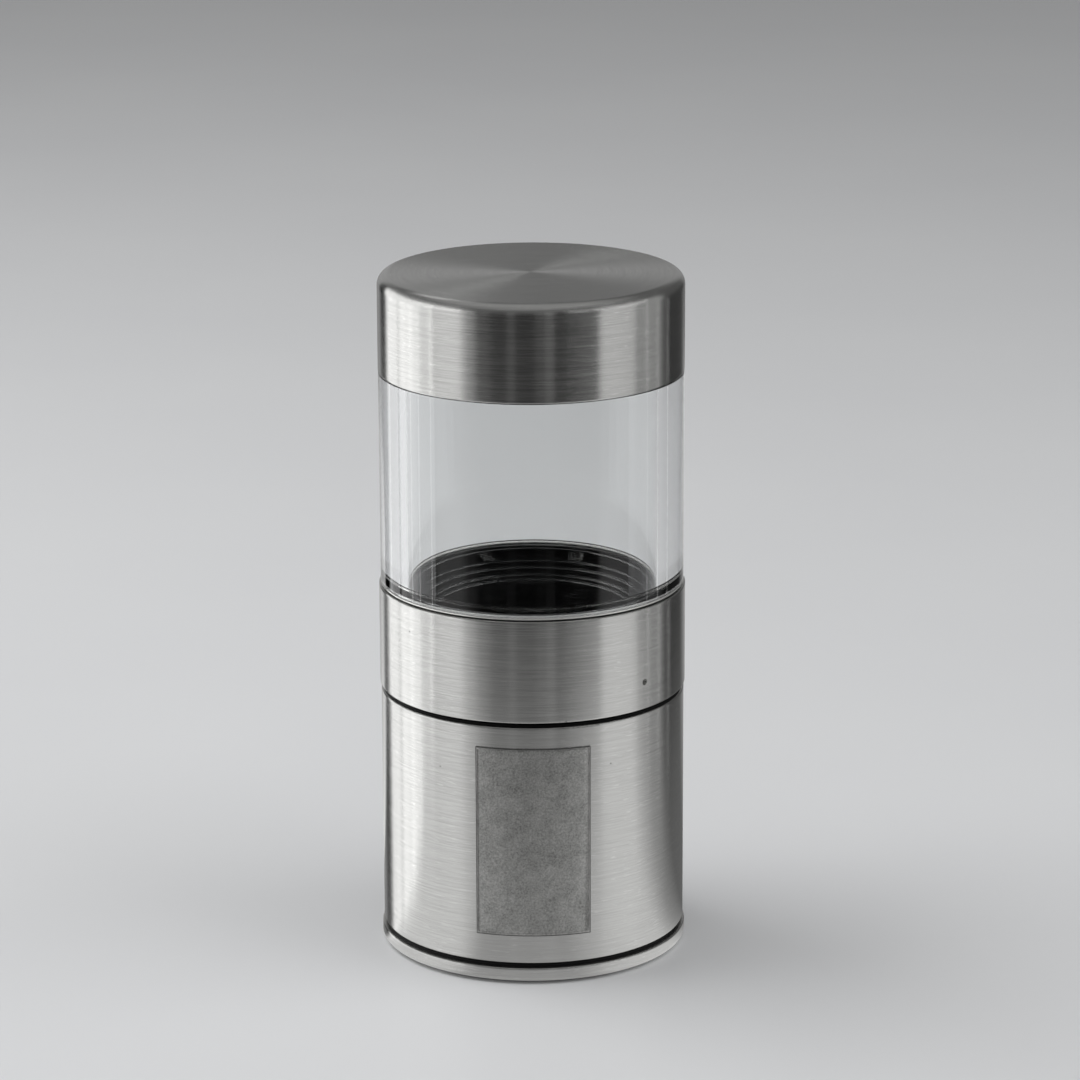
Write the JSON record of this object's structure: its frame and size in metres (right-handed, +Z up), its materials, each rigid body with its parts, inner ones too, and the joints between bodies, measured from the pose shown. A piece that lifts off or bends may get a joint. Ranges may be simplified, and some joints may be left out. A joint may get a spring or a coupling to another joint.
{
  "type": "cordless spice grinder",
  "caption": "Slim cordless spice grinder: brushed steel motor base, twist ring that runs it, black grinding bowl, clear cup and push-on steel lid.",
  "frame": {"origin": "middle of the base on the surface it stands on", "axes": "+Z up along the grinder, the front plate faces -Y, the charging port faces +Y"},
  "size_m": [0.0554, 0.0554, 0.124],
  "materials": {
    "brushed_steel": "fine brushed",
    "spun_steel": "spun on top, brushed round the side",
    "polished_steel": "polished",
    "blasted_steel": "bead blasted, matt",
    "clear_acrylic": "clear moulded acrylic",
    "black_plastic": "glossy moulded",
    "matt_black_plastic": "fine moulded",
    "grey_plastic": "fine moulded",
    "white_plastic": "moulded",
    "black_rubber": "matt",
    "silicone": "satin, translucent",
    "blade_steel": "ground",
    "shaft_steel": "ground",
    "zinc_plate": "zinc plated",
    "motor_steel": "nickel plated",
    "laminated_steel": "stacked laminations, varnished",
    "copper": "enamelled winding wire",
    "bronze": "sintered",
    "brass": "stamped",
    "ferrite": "sintered ferrite",
    "carbon": "pressed carbon",
    "red_wire": "insulated wire",
    "blue_wire": "insulated wire",
    "cell_wrap": "shrink sleeve",
    "nickel": "spot welded strip",
    "circuit_board": "solder mask",
    "light_pipe": "milky, translucent"
  },
  "bodies": {
    "base": {"ring_drag_seal": "black_rubber", "grinding_bowl": "black_plastic", "shaft_seal": "black_rubber", "motor_deck": "matt_black_plastic", "motor_can": "motor_steel", "motor_magnets": "ferrite", "motor_end_bell": "white_plastic", "upper_bush": "bronze", "lower_bush": "bronze", "motor_brushes": "carbon", "motor_terminals": "brass", "motor_leads": "red_wire", "run_switch": "matt_black_plastic", "switch_leads": "blue_wire", "cell_cradle": "grey_plastic", "cell_rear_right": "cell_wrap", "cell_rear_left": "cell_wrap", "cell_front_left": "cell_wrap", "cell_front_right": "cell_wrap", "cell_straps": "nickel", "cell_leads": "red_wire", "control_board": "circuit_board", "usb_socket": "nickel", "port_bezel": "matt_black_plastic", "charge_light": "light_pipe", "body_shell": "brushed_steel", "name_plate": "blasted_steel", "base_gasket": "black_rubber", "base_cap": "brushed_steel", "foot_ring": "black_rubber", "bowl_screws": "zinc_plate", "deck_screws": "zinc_plate", "motor_screws": "zinc_plate", "base_screws": "zinc_plate"},
    "cup": {"clear_cup": "clear_acrylic", "cup_trim_ring": "polished_steel", "cup_seal": "black_rubber"},
    "lid": {"lid_shell": "spun_steel", "lid_liner": "grey_plastic", "lid_seal": "silicone"},
    "run_ring": {"run_ring_sleeve": "brushed_steel", "ring_carrier": "matt_black_plastic"},
    "rotor": {"blade": "blade_steel", "blade_hub": "shaft_steel", "blade_nut": "shaft_steel", "rotor_shaft": "shaft_steel", "armature_core": "laminated_steel", "armature_windings": "copper", "commutator": "copper"},
    "switch_plunger": {"switch_plunger": "white_plastic"},
    "port_cover": {"port_cover": "black_rubber"}
  },
  "joints": [
    {"name": "cup_lift", "type": "slide", "parent": "base", "child": "cup", "axis": [0, 0, 1], "range_m": [0, 0.03]},
    {"name": "lid_lift", "type": "slide", "parent": "cup", "child": "lid", "axis": [0, 0, 1], "range_m": [0, 0.06]},
    {"name": "ring_twist", "type": "hinge", "parent": "base", "child": "run_ring", "pos_m": [0, 0, 0.058], "axis": [0, 0, 1], "range_deg": [0, 30]},
    {"name": "blade_spin", "type": "hinge", "parent": "base", "child": "rotor", "pos_m": [0, 0, 0.05], "axis": [0, 0, 1], "continuous": true},
    {"name": "plunger_push", "type": "slide", "parent": "base", "child": "switch_plunger", "axis": [0, -1, 0], "range_m": [0, 0.0009]},
    {"name": "port_cover_open", "type": "hinge", "parent": "base", "child": "port_cover", "pos_m": [-0.0051, 0.02687, 0.0082], "axis": [0, 0, 1], "range_deg": [0, 100]}
  ],
  "couplings": [
    {"joint": "plunger_push", "follows": "ring_twist", "m_per_rad": 0.0017188}
  ]
}
